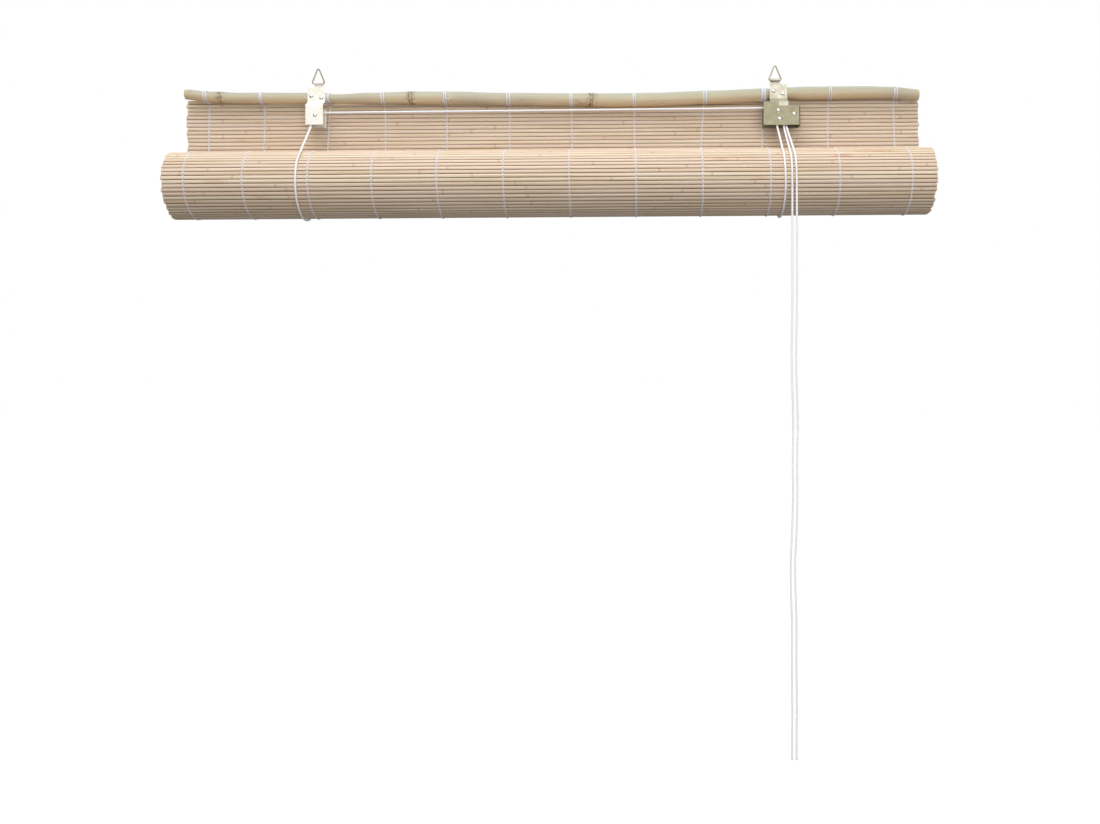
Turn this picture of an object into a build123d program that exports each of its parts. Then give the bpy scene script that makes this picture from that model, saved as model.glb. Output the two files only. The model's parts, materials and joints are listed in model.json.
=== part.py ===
"""Bamboo roll-up blind, mostly rolled up, hanging from two wire rings.

Millimetres, +Z up.  X runs along the blind and +Y points at the wall.  The origin is on the
straight line through both ring eyes, where the wall hooks bear, near the top pole's middle.
"""

import os
from math import atan2, cos, pi, radians, sin, tan

from build123d import *

os.makedirs("parts", exist_ok=True)

# ---------------------------------------------------------------- driving dimensions
blind_centre_x = 5.0  # middle of the top pole and of the mat

# Poles
pole_length = 998.0
pole_drop = 37.0  # ring eye line down to the top pole's mean axis
pole_bore_radius = 2.6
pole_bore_depth = 14.0
bottom_pole_radius = 9.0
bottom_pole_overhang = 2.0  # past each end of the mat
bottom_pole_gap = 0.1  # between the pole and the roll's innermost turn
# The crooked bamboo: share of its length from the middle, offset y, offset z, radius
pole_shape = (
    (-0.5, -1.1, 7.8, 6.8),
    (-0.465, -1.1, 4.2, 7.1),
    (-0.425, -1.1, 2.2, 7.4),
    (-0.337, -1.1, 1.4, 7.5),
    (-0.247, -1.1, 0.8, 7.5),
    (-0.193, -0.3, 1.3, 8.3),
    (-0.138, 0.0, 0.8, 8.6),
    (-0.057, 0.0, -1.4, 8.3),
    (0.025, 0.0, -2.4, 8.4),
    (0.08, 0.0, -3.4, 8.9),
    (0.134, 0.0, -3.1, 8.9),
    (0.216, 0.0, -0.6, 8.8),
    (0.29, 0.1, 1.9, 8.7),
    (0.344, 0.1, 4.1, 8.7),
    (0.426, 0.0, 4.6, 8.2),
    (0.461, 0.0, 3.9, 7.8),
    (0.5, 0.0, 0.8, 7.5),
)

# Mat of splints
splint_length = 1004.0
splint_height = 4.8
splint_thickness = 1.6
splint_gap = 0.45
splint_edge_radius = 0.7
hanging_splints = 24
mat_behind_pole = 10.6  # top pole's mean axis to the splints' mid-plane

# Rolled part of the mat
roll_drop = 123.3  # top pole's mean axis down to the roll's axis
roll_radius = 43.9  # mid-thickness radius of the outermost half turn
roll_pitch = 3.9  # radial step from one turn to the next
roll_half_turns = 17

# Warp threads: where each loops the pole, and where it meets the roll
warp_pole_x = (-466, -390, -300, -224.5, -140, -54, 31, 117, 213, 292.5, 383, 472)
warp_roll_x = (-468, -392, -307.5, -225, -140.5, -54.5, 31, 117.5, 204, 292, 381.5, 475)
thread_width = 1.0
thread_thickness = 0.6
loop_width = 2.4
loop_thickness = 0.8
loop_gap = 0.4
window_gap = 0.05

# Sheet-metal brackets
sheet = 1.0
bend_radius = 1.6  # at the middle of the sheet
strap_top_below_eye = 23.1
joggle_start = 43.0  # depths below the eye line
joggle_end = 50.0
box_step = 10.8  # strap's mid-plane forward to the front plate's mid-plane
box_depth = 16.4  # front plate's mid-plane back to the back plate's mid-plane
tongue_width = 13.0

left_strap_x = -314.0
left_strap_width = 23.2
left_tongue_x = -310.4
left_plate_bottom = 76.2
left_rivet_place = (-312.9, -63.5)
left_screw_places = ((-320.6, -35.1), (-307.1, -37.8))

right_strap_x = 312.0
right_strap_width = 23.7
right_tongue_x = 307.4
lock_left = 290.6
lock_right = 339.9
lock_step_x = 311.1
lock_top = 49.6
lock_ledge = 55.2
lock_bottom = 81.1
strap_tab_bottom = 79.0
upper_rivet_place = (310.5, -61.8)
lower_rivet_place = (312.2, -73.1)
cam_rivet_place = (331.7, -66.6)
right_screw_places = ((305.5, -32.2), (318.6, -35.9))

# Rings
wire_radius = 0.95
wire_play = 0.1
ring_base_width = 17.4
ring_height = 18.95  # middle of the base wire to the middle of the apex wire
ring_corner_radius = 1.3
ring_apex_radius = 1.6
curl_sweep = 285.0

# Rivets and screws
rivet_radius = 1.5
rivet_head_radius = 2.9
rivet_head_height = 1.4
rivet_fit = 0.02
screw_shank_radius = 1.4
screw_length = 9.0
screw_head_radius = 2.9
screw_head_height = 1.5
screw_slot = 0.8
screw_turn = 12.0
screw_hole_gap = 0.3
pilot_gap = 0.03

# Pulleys, roller and cam
running_gap = 0.05
flange = 1.0
left_cord_radius = 5.3  # pulley axis to the middle of the cord
left_groove = 4.0
left_flange_radius = 6.5
upper_cord_radius = 6.5
upper_groove = 3.4
upper_flange_radius = 7.6
pulley_cord_gap = 0.25
roller_radius = 2.8
roller_length = 12.0
cam_hub_radius = 5.0
cam_reach = 11.4
cam_nose_radius = 1.6
cam_thickness = 10.0
cam_teeth = 4
cam_tooth_depth = 0.5
cam_tooth_start = -60.0
cam_tooth_step = 40.0

# Cords
cord_radius = 1.3

# ---------------------------------------------------------------- derived places
strap_y = wire_radius + wire_play + sheet / 2
strap_back = strap_y + sheet / 2
pole_left = blind_centre_x - pole_length / 2
pole_right = blind_centre_x + pole_length / 2
pole_stations = [(blind_centre_x + share * pole_length, y, z, r) for share, y, z, r in pole_shape]
strap_edges = [
    x + side * width / 2
    for x, width in ((left_strap_x, left_strap_width), (right_strap_x, right_strap_width))
    for side in (-1, 1)
]


def pole_shape_at(x):
    """Offset y, offset z and radius of the top pole at x, from its mean axis."""
    for (xa, *low), (xb, *high) in zip(pole_stations, pole_stations[1:]):
        if xa <= x <= xb:
            share = (x - xa) / (xb - xa)
            return [a + share * (b - a) for a, b in zip(low, high)]
    raise ValueError(f"x {x} is past the pole's ends")


def pole_reach(x):
    """How far the top pole's front stands before its mean axis at x."""
    offset_y, _, radius = pole_shape_at(x)
    return radius - offset_y


pole_y = strap_back + max(pole_reach(x) for x in strap_edges)  # the straps rest on the pole
pole_z = -pole_drop
front_y = strap_y - box_step
back_y = front_y + box_depth
ring_base_z = wire_radius - ring_height
mat_y = pole_y + mat_behind_pole
mat_left = blind_centre_x - splint_length / 2
roll_z = pole_z - roll_drop
roll_y = mat_y - roll_radius
splint_pitch = splint_height + splint_gap
lowest_splint_z = roll_z + splint_gap / 2 + splint_height / 2
splint_zs = [lowest_splint_z + i * splint_pitch for i in reversed(range(hanging_splints))]
pulley_y = (front_y + back_y) / 2 + sheet / 2


def pole_at(x):
    """Centre y, centre z and radius of the top pole at x."""
    offset_y, offset_z, radius = pole_shape_at(x)
    return pole_y + offset_y, pole_z + offset_z, radius


def save(builder, name):
    """Label a finished piece and write its STEP file."""
    builder.part.label = name
    export_step(builder.part, f"parts/{name}.step")


def facing_front(y):
    """A plane in X and Z at depth y, whose normal points back at the wall."""
    return Plane(origin=(0, y, 0), x_dir=(-1, 0, 0), z_dir=(0, 1, 0))


def at(place):
    """An (x, z) place as local coordinates of a facing_front plane."""
    return (-place[0], place[1])


# ---------------------------------------------------------------- poles
screw_places = left_screw_places + right_screw_places

with BuildPart() as top_pole:
    for x, y, z, radius in pole_stations:
        with BuildSketch(Plane.YZ.offset(x)):
            with Locations((pole_y + y, pole_z + z)):
                Circle(radius)
    loft(ruled=True)
    for end, inward in ((pole_left, 1), (pole_right, -1)):
        end_y, end_z, _ = pole_at(end)
        with BuildSketch(Plane.YZ.offset(end)):
            with Locations((end_y, end_z)):
                Circle(pole_bore_radius)
        extrude(amount=inward * pole_bore_depth, mode=Mode.SUBTRACT)
    with BuildSketch(facing_front(strap_back)):
        with Locations(*[at(place) for place in screw_places]):
            Circle(screw_shank_radius + pilot_gap)
    extrude(amount=screw_length, mode=Mode.SUBTRACT)
save(top_pole, "top_pole")

core_radius = roll_radius - (roll_half_turns - 1) * roll_pitch / 2 - splint_thickness / 2
bottom_pole_z = roll_z - (core_radius - bottom_pole_radius) + bottom_pole_gap
bottom_pole_left = mat_left - bottom_pole_overhang
bottom_pole_length = splint_length + 2 * bottom_pole_overhang

with BuildPart() as bottom_pole:
    with BuildSketch(Plane.YZ.offset(bottom_pole_left)):
        with Locations((roll_y, bottom_pole_z)):
            Circle(bottom_pole_radius)
    extrude(amount=bottom_pole_length)
    for end, inward in ((bottom_pole_left, 1), (bottom_pole_left + bottom_pole_length, -1)):
        with BuildSketch(Plane.YZ.offset(end)):
            with Locations((roll_y, bottom_pole_z)):
                Circle(pole_bore_radius)
        extrude(amount=inward * pole_bore_depth, mode=Mode.SUBTRACT)
save(bottom_pole, "bottom_pole")

# ---------------------------------------------------------------- splints and rolled mat
for number, z in enumerate(splint_zs, start=1):
    with BuildPart() as splint:
        with BuildSketch(Plane.YZ.offset(mat_left)):
            with Locations((mat_y, z)):
                RectangleRounded(splint_thickness, splint_height, splint_edge_radius)
        extrude(amount=splint_length)
    save(splint, f"splint_{number:02d}")


def spiral_arcs(side):
    """Draw the roll's half turns, offset outward by side, from the hanging mat inwards."""
    for turn in range(roll_half_turns):
        radius = roll_radius - turn * roll_pitch / 2 + side
        centre_y = roll_y - (turn % 2) * roll_pitch / 2
        CenterArc((centre_y, roll_z), radius, -180 * (turn % 2), -180)


inner_end_y = roll_y - (roll_radius - (roll_half_turns - 1) * roll_pitch / 2)

with BuildPart() as mat_roll:
    with BuildSketch(Plane.YZ.offset(mat_left)):
        with BuildLine():
            half = splint_thickness / 2
            spiral_arcs(half)
            spiral_arcs(-half)
            Line((mat_y - half, roll_z), (mat_y + half, roll_z))
            Line((inner_end_y - half, roll_z), (inner_end_y + half, roll_z))
        make_face()
    extrude(amount=splint_length)
save(mat_roll, "mat_roll")

# ---------------------------------------------------------------- warp threads
thread_depth = splint_thickness + 2 * thread_thickness
thread_top = splint_zs[0] + splint_height / 2 + thread_thickness

for number, (loop_x, foot_x) in enumerate(zip(warp_pole_x, warp_roll_x), start=1):
    loop_y, loop_z, loop_pole_radius = pole_at(loop_x)
    inner = loop_pole_radius + loop_gap
    lean = atan2(foot_x - loop_x, pole_z - roll_z)
    run_plane = Plane(
        origin=(loop_x, 0, pole_z), x_dir=(0, 1, 0), z_dir=(cos(lean), 0, sin(lean))
    )
    run_length = (thread_top - roll_z) / cos(lean)
    run_top = (thread_top - pole_z) / cos(lean)
    with BuildPart() as warp_thread:
        with BuildSketch(Plane.YZ.offset(loop_x - loop_width / 2)):
            with BuildLine():
                for y, z, radius in (
                    (loop_y, loop_z, inner + loop_thickness),
                    (mat_y, splint_zs[0], thread_depth / 2),
                ):
                    CenterArc((y, z), radius, 0, 360)
            make_hull()
            with Locations((loop_y, loop_z)):
                Circle(inner, mode=Mode.SUBTRACT)
        extrude(amount=loop_width)
        with BuildSketch(run_plane.offset(-thread_width / 2)):
            with Locations((mat_y, run_top - run_length / 2)):
                Rectangle(thread_depth, run_length)
        extrude(amount=thread_width)
        with BuildSketch(Plane.YZ.offset(min(loop_x, foot_x) - 2 * loop_width)):
            for z in splint_zs:
                with Locations((mat_y, z)):
                    Rectangle(splint_thickness + 2 * window_gap, splint_height + 2 * window_gap)
            with Locations((mat_y, roll_z - splint_height / 2)):
                Rectangle(2 * thread_depth, splint_height)
        extrude(amount=abs(foot_x - loop_x) + 4 * loop_width, mode=Mode.SUBTRACT)
    save(warp_thread, f"warp_thread_{number:02d}")


# ---------------------------------------------------------------- brackets
def tongue(centre_x, top_z):
    """The narrow tongue above a strap, curled forward round the ring's base wire."""
    curl = wire_radius + wire_play + sheet / 2
    with BuildSketch(Plane.YZ.offset(centre_x - tongue_width / 2)) as profile:
        with BuildLine():
            end = radians(curl_sweep)
            for side in (-sheet / 2, sheet / 2):
                CenterArc((0, ring_base_z), curl + side, 0, curl_sweep)
                Line((strap_y + side, top_z - bend_radius), (strap_y + side, ring_base_z))
            Line(
                ((curl - sheet / 2) * cos(end), ring_base_z + (curl - sheet / 2) * sin(end)),
                ((curl + sheet / 2) * cos(end), ring_base_z + (curl + sheet / 2) * sin(end)),
            )
            Line(
                (strap_y - sheet / 2, top_z - bend_radius),
                (strap_y + sheet / 2, top_z - bend_radius),
            )
        make_face()
    extrude(profile.sketch, amount=tongue_width)


def strap(centre_x, width, low_y, low_z):
    """A strap down the pole's front, stepping forward to low_y and ending at low_z."""
    with BuildSketch(Plane.YZ.offset(centre_x - width / 2)) as profile:
        with BuildLine():
            FilletPolyline(
                (strap_y, -strap_top_below_eye),
                (strap_y, -joggle_start),
                (low_y, -joggle_end),
                (low_y, low_z),
                radius=bend_radius,
            )
            offset(amount=sheet / 2, side=Side.BOTH, kind=Kind.INTERSECTION)
        make_face()
    extrude(profile.sketch, amount=width)


def folded_box(open_x, closed_x, top_z, bottom_z):
    """Front plate, one folded side wall at closed_x and a back plate, open at open_x."""
    inward = sheet / 2 if open_x > closed_x else -sheet / 2
    with BuildSketch(Plane.XY.offset(bottom_z)) as profile:
        with BuildLine():
            FilletPolyline(
                (open_x, front_y),
                (closed_x + inward, front_y),
                (closed_x + inward, back_y),
                (open_x, back_y),
                radius=bend_radius,
            )
            offset(amount=sheet / 2, side=Side.BOTH, kind=Kind.INTERSECTION)
        make_face()
    extrude(profile.sketch, amount=top_z - bottom_z)


def drill(places, radius):
    """Drill round holes from front to back through everything at the given (x, z) places."""
    with BuildSketch(facing_front(front_y - box_depth)) as holes:
        with Locations(*[at(place) for place in places]):
            Circle(radius)
    extrude(holes.sketch, amount=3 * box_depth, mode=Mode.SUBTRACT)


with BuildPart() as left_bracket:
    tongue(left_tongue_x, -strap_top_below_eye)
    strap(left_strap_x, left_strap_width, front_y, -left_plate_bottom)
    folded_box(
        left_strap_x + left_strap_width / 2,
        left_strap_x - left_strap_width / 2,
        -joggle_end - bend_radius,
        -left_plate_bottom,
    )
    drill(left_screw_places, screw_shank_radius + screw_hole_gap)
    drill((left_rivet_place,), rivet_radius + rivet_fit)
save(left_bracket, "left_bracket")

with BuildPart() as right_strap:
    tongue(right_tongue_x, -strap_top_below_eye)
    strap(right_strap_x, right_strap_width, front_y + sheet, -strap_tab_bottom)
    drill(right_screw_places, screw_shank_radius + screw_hole_gap)
    drill((upper_rivet_place, lower_rivet_place), rivet_radius + rivet_fit)
save(right_strap, "right_strap")

with BuildPart() as lock_housing:
    folded_box(lock_left, lock_right, -lock_top, -lock_bottom)
    with BuildSketch(Plane.XY.offset(-lock_ledge)):
        with Locations(((lock_step_x + lock_right + sheet) / 2, front_y)):
            Rectangle(lock_right + sheet - lock_step_x, 2 * (box_depth - sheet))
    extrude(amount=lock_ledge - lock_top + sheet, mode=Mode.SUBTRACT)
    drill((upper_rivet_place, lower_rivet_place, cam_rivet_place), rivet_radius + rivet_fit)
save(lock_housing, "lock_housing")


# ---------------------------------------------------------------- rings
half_base = ring_base_width / 2
slope = atan2(ring_height, half_base)
for _ in range(8):  # the sharp corner stands above the rounded apex by what the rounding removes
    sharp_height = ring_height + ring_apex_radius * (1 / cos(slope) - 1)
    slope = atan2(sharp_height, half_base)

for name, centre_x in (("left_ring", left_tongue_x), ("right_ring", right_tongue_x)):
    with BuildPart() as ring:
        with BuildLine() as ring_path:
            FilletPolyline(
                (centre_x - half_base, 0, ring_base_z),
                (centre_x + half_base, 0, ring_base_z),
                (centre_x, 0, ring_base_z + sharp_height),
                radius=[ring_corner_radius, ring_corner_radius, ring_apex_radius],
                close=True,
            )
        ring_wire = ring_path.wire()
        with BuildSketch(Plane(origin=ring_wire @ 0, z_dir=ring_wire % 0)):
            Circle(wire_radius)
        sweep(path=ring_wire)
    save(ring, name)


# ---------------------------------------------------------------- rivets and screws
def dome_arc(flat_y, rise, radius):
    """The half profile of a domed head, from its crown on the axis to its rim."""
    ball = (radius**2 + rise**2) / (2 * abs(rise))
    side = 1 if rise > 0 else -1
    centre = flat_y + rise - side * ball
    middle = atan2(radius, ball - abs(rise)) / 2
    crown = (0, flat_y + rise)
    shoulder = (ball * sin(middle), centre + side * ball * cos(middle))
    ThreePointArc(crown, shoulder, (radius, flat_y))


def axis_plane(place):
    """A half-section plane: local x is the distance from the axis at place, local y runs along Y."""
    return Plane(origin=(place[0], 0, place[1]), x_dir=(1, 0, 0), z_dir=(0, 0, 1))


def axis_at(place):
    """The line along Y through an (x, z) place."""
    return Axis((place[0], 0, place[1]), (0, 1, 0))


rivet_front = front_y - sheet / 2
rivet_back = back_y + sheet / 2

for name, place in (
    ("left_pulley_rivet", left_rivet_place),
    ("upper_pulley_rivet", upper_rivet_place),
    ("lower_roller_rivet", lower_rivet_place),
    ("cam_rivet", cam_rivet_place),
):
    with BuildPart() as rivet:
        with BuildSketch(axis_plane(place)):
            with BuildLine():
                dome_arc(rivet_front, -rivet_head_height, rivet_head_radius)
                Polyline(
                    (rivet_head_radius, rivet_front),
                    (rivet_radius, rivet_front),
                    (rivet_radius, rivet_back),
                    (rivet_head_radius, rivet_back),
                )
                dome_arc(rivet_back, rivet_head_height, rivet_head_radius)
                Line((0, rivet_front - rivet_head_height), (0, rivet_back + rivet_head_height))
            make_face()
        revolve(axis=axis_at(place))
    save(rivet, name)

strap_front = strap_y - sheet / 2
screw_tip_y = strap_front + screw_length

for name, places in (("left_screws", left_screw_places), ("right_screws", right_screw_places)):
    with BuildPart() as screws:
        for place in places:
            with BuildSketch(axis_plane(place)):
                with BuildLine():
                    dome_arc(strap_front, -screw_head_height, screw_head_radius)
                    Polyline(
                        (screw_head_radius, strap_front),
                        (screw_shank_radius, strap_front),
                        (screw_shank_radius, screw_tip_y - screw_shank_radius),
                        (0, screw_tip_y),
                    )
                    Line((0, strap_front - screw_head_height), (0, screw_tip_y))
                make_face()
            revolve(axis=axis_at(place))
        with BuildSketch(facing_front(strap_front - screw_head_height)):
            with Locations(*[at(place) for place in places]):
                Rectangle(3 * screw_head_radius, screw_slot, rotation=screw_turn)
        extrude(amount=screw_head_height / 2, mode=Mode.SUBTRACT)
    save(screws, name)

# ---------------------------------------------------------------- pulleys, roller and cam
bore_radius = rivet_radius + running_gap


def pulley(place, middle_y, cord_line_radius, flange_radius, groove, grooves):
    """A pulley with a number of equal grooves, turned about the rivet at place."""
    floor = cord_line_radius - cord_radius - pulley_cord_gap
    width = grooves * groove + (grooves + 1) * flange
    start = middle_y - width / 2
    with BuildSketch(axis_plane(place)) as section:
        with Locations(((bore_radius + floor) / 2, middle_y)):
            Rectangle(floor - bore_radius, width)
        for wall in range(grooves + 1):
            wall_y = start + wall * (groove + flange) + flange / 2
            with Locations(((bore_radius + flange_radius) / 2, wall_y)):
                Rectangle(flange_radius - bore_radius, flange)
    revolve(section.sketch, axis=axis_at(place))


with BuildPart() as left_pulley:
    pulley(left_rivet_place, pulley_y, left_cord_radius, left_flange_radius, left_groove, 1)
save(left_pulley, "left_pulley")

with BuildPart() as upper_pulley:
    pulley(upper_rivet_place, pulley_y, upper_cord_radius, upper_flange_radius, upper_groove, 2)
save(upper_pulley, "upper_pulley")

with BuildPart() as lower_roller:
    with BuildSketch(axis_plane(lower_rivet_place)):
        with Locations(((bore_radius + roller_radius) / 2, pulley_y)):
            Rectangle(roller_radius - bore_radius, roller_length)
    revolve(axis=axis_at(lower_rivet_place))
save(lower_roller, "lower_roller")

with BuildPart() as lock_cam:
    with BuildSketch(facing_front(pulley_y - cam_thickness / 2)):
        hub = at(cam_rivet_place)
        nose = (hub[0] + cam_reach - cam_nose_radius, hub[1])
        with BuildLine():
            CenterArc(hub, cam_hub_radius, 0, 360)
            CenterArc(nose, cam_nose_radius, 0, 360)
        make_hull()
        with Locations(hub):
            Circle(bore_radius, mode=Mode.SUBTRACT)
        with Locations(nose):
            with PolarLocations(
                cam_nose_radius, cam_teeth, cam_tooth_start, cam_tooth_step * cam_teeth
            ):
                Rectangle(cam_tooth_depth, cam_tooth_depth, rotation=45, mode=Mode.SUBTRACT)
    extrude(amount=cam_thickness)
save(lock_cam, "lock_cam")


# ---------------------------------------------------------------- cords
# Each route is chosen point by point; a corner's radius follows it.  None means as large as
# the two runs allow.  Where a cord goes round the roll, a pulley or an edge, it has that size.
def route_radii(points, radii):
    """Corner radii of a route, worked out from its runs where none is given."""
    found = []
    for before, here, after, given in zip(points, points[1:], points[2:], radii):
        into, out = Vector(*here) - Vector(*before), Vector(*after) - Vector(*here)
        turn = radians(into.get_angle(out))
        found.append(given or 0.45 * min(into.length, out.length) / tan(turn / 2))
    return found


def cord(points, radii, name):
    """A round cord along straight runs joined by tangent arcs."""
    corner_radii = route_radii(points, radii)
    with BuildPart() as tube:
        with BuildLine() as path:
            FilletPolyline(*points, radius=corner_radii)
        route = path.wire()
        with BuildSketch(Plane(origin=route @ 0, z_dir=route % 0)):
            Circle(cord_radius)
        sweep(path=route)
    section = pi * cord_radius**2
    print(name, "length", round(route.length, 1), "volume ratio",
          round(tube.part.volume / (section * route.length), 4))
    print("  radii", [round(radius, 1) for radius in corner_radii])
    save(tube, name)


left_lift_route = (
    (-322.0, 11.5, -26.4),
    (-322.0, 18.0, -28.6),
    (-322.0, 23.9, -35.0),
    (-322.3, 23.75, -179.5),
    (-322.8, -3.4, -206.7),
    (-323.4, -41.9, -206.7),
    (-322.6, -69.1, -179.5),
    (-321.6, -69.1, -142.0),
    (-319.2, -6.6, -78.6),
    (-318.2, -0.9, -68.6),
    (-318.2, -0.6, -58.2),
    (317.0, 1.7, -55.3),
    (318.4, 1.2, -70.0),
    (320.8, -4.2, -78.0),
    (321.4, -5.4, -81.6),
)
left_lift_radii = (4.0, 6.0, 46.0, 46.0, 46.0, 44.4, 44.4, 8.0, 12.0, 5.2, 6.5, None, None)

right_lift_route = (
    (309.0, 12.5, -24.1),
    (309.0, 18.6, -26.4),
    (309.0, 23.9, -34.0),
    (309.3, 23.75, -179.5),
    (309.8, -3.4, -206.7),
    (310.6, -41.9, -206.7),
    (310.9, -69.1, -179.5),
    (309.6, -69.1, -140.7),
    (309.2, -6.6, -83.2),
    (307.4, -3.4, -74.0),
    (304.0, -2.8, -64.8),
    (304.0, -2.7, -55.3),
    (317.0, -2.7, -55.3),
    (317.0, -2.8, -70.0),
    (317.8, -4.2, -78.0),
    (318.0, -5.4, -81.6),
)
right_lift_radii = (
    4.0, 6.0, 46.0, 46.0, 46.0, 44.4, 44.4, 8.0, None, 13.0, 6.4, 6.4, None, None
)

left_pull_route = (
    (321.4, -5.4, -81.6),
    (322.0, -6.6, -85.2),
    (324.2, -61.4, -133.1),
    (324.5, -69.4, -150.7),
    (324.5, -69.4, -186.0),
    (324.2, -69.3, -236.0),
    (323.8, -69.4, -292.0),
    (323.4, -69.2, -346.0),
    (321.8, -69.3, -392.0),
    (322.6, -69.4, -436.0),
    (323.9, -69.2, -482.0),
    (322.4, -69.3, -528.0),
    (322.7, -69.4, -575.0),
    (321.2, -69.3, -622.0),
    (318.9, -69.4, -658.0),
    (319.0, -69.3, -694.0),
    (320.4, -69.2, -740.0),
    (319.6, -69.3, -790.0),
    (319.9, -69.4, -842.0),
    (319.3, -69.3, -884.0),
    (319.0, -69.3, -916.0),
)
left_pull_radii = (8.0, 44.0, 44.0) + (None,) * 16

right_pull_route = (
    (318.0, -5.4, -81.6),
    (318.2, -6.6, -85.2),
    (318.6, -61.4, -133.1),
    (318.8, -69.4, -150.7),
    (318.7, -69.4, -186.0),
    (318.3, -69.3, -236.0),
    (318.1, -69.4, -292.0),
    (317.6, -69.2, -346.0),
    (316.0, -69.3, -392.0),
    (316.9, -69.4, -436.0),
    (318.1, -69.2, -482.0),
    (316.6, -69.3, -528.0),
    (317.0, -69.4, -575.0),
    (315.4, -69.3, -622.0),
    (313.2, -69.4, -658.0),
    (313.2, -69.3, -694.0),
    (314.6, -69.2, -740.0),
    (313.9, -69.3, -790.0),
    (314.1, -69.4, -842.0),
    (313.6, -69.3, -884.0),
    (313.4, -69.3, -916.0),
)
right_pull_radii = (8.0, 44.0, 44.0) + (None,) * 16

cord(left_lift_route, left_lift_radii, "left_lift_cord")
cord(right_lift_route, right_lift_radii, "right_lift_cord")
cord(left_pull_route, left_pull_radii, "left_pull_cord")
cord(right_pull_route, right_pull_radii, "right_pull_cord")
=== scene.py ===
"""Looks of a bamboo roll-up blind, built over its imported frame.

Metres, +Z up, +X along the blind to its cord-lock end, +Y into the wall.  Each sub-assembly is a
class whose fields are its sizes; its methods build the meshes and dress them.
"""

from __future__ import annotations

import json
import logging
import math
from bisect import bisect_left
from collections import defaultdict
from collections.abc import Callable, Sequence
from dataclasses import dataclass, field
from enum import Enum
from itertools import accumulate
from typing import Union

import bmesh
import bpy
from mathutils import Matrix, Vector, noise

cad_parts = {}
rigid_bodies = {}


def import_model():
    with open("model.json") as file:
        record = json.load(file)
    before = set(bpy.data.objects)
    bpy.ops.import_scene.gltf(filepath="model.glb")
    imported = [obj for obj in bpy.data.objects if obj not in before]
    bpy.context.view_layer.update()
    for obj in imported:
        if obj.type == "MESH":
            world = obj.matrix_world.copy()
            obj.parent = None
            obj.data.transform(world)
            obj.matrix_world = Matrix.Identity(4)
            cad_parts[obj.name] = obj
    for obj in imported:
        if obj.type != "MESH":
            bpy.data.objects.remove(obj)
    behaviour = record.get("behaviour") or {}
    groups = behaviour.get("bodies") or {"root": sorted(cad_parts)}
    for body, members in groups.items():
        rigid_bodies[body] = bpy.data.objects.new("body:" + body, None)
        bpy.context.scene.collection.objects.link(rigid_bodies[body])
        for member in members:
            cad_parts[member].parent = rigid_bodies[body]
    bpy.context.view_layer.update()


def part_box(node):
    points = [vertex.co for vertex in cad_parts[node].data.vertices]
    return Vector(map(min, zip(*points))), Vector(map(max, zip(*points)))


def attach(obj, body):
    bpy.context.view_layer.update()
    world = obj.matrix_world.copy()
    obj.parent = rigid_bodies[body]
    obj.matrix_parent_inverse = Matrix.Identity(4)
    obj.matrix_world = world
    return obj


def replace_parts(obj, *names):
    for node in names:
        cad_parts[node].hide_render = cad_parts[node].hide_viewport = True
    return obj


LOG = logging.getLogger("blind")
ROOT = "blind"
DISPLAY_WHITE = 255
AS_VECTOR = "FLOAT_VECTOR"

Value = Union["Sock", float, int, str, tuple]
Colour = tuple[float, float, float]
Place = tuple[float, float, float]
Route = tuple[Place, ...]


def linear(*levels: float) -> Colour:
    """Turn a display colour into linear light.

    Args:
        levels: Red, green and blue, from 0 to 255.

    Returns:
        The three channels, from 0 to 1.
    """
    shares = (level / DISPLAY_WHITE for level in levels)
    return tuple(s / 12.92 if s < 0.04045 else ((s + 0.055) / 1.055) ** 2.4 for s in shares)


# --- node maths
def operator(operation: str, swapped: bool = False) -> Callable[..., Sock]:
    """Make a method of Sock that adds one kind of Math node.

    Args:
        operation: The Math node's operation.
        swapped: Whether the other operand comes first.

    Returns:
        The method.
    """

    def method(self: Sock, *others: Value) -> Sock:
        """Add the node."""
        values = (*others, self) if swapped else (self, *others)
        sockets = dict(enumerate(values))
        return self.desk.add("ShaderNodeMath", {"operation": operation}, sockets)

    return method


@dataclass(frozen=True)
class Sock:
    """One output socket of a node tree, on which Python's operators add Math nodes."""

    desk: NodeDesk
    socket: bpy.types.NodeSocket

    __add__, __radd__ = operator("ADD"), operator("ADD", swapped=True)
    __sub__, __rsub__ = operator("SUBTRACT"), operator("SUBTRACT", swapped=True)
    __mul__, __truediv__, __pow__ = operator("MULTIPLY"), operator("DIVIDE"), operator("POWER")
    sine, cosine, arctan2 = operator("SINE"), operator("COSINE"), operator("ARCTAN2")
    magnitude, sign = operator("ABSOLUTE"), operator("SIGN")
    fraction, larger = operator("FRACT"), operator("MAXIMUM")

    def ease(self, low: float, high: float) -> Sock:
        """A smooth step from 0 at low to 1 at high."""
        settings = {"interpolation_type": "SMOOTHSTEP"}
        return self.desk.add("ShaderNodeMapRange", settings, {0: self, 1: low, 2: high})


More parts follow.
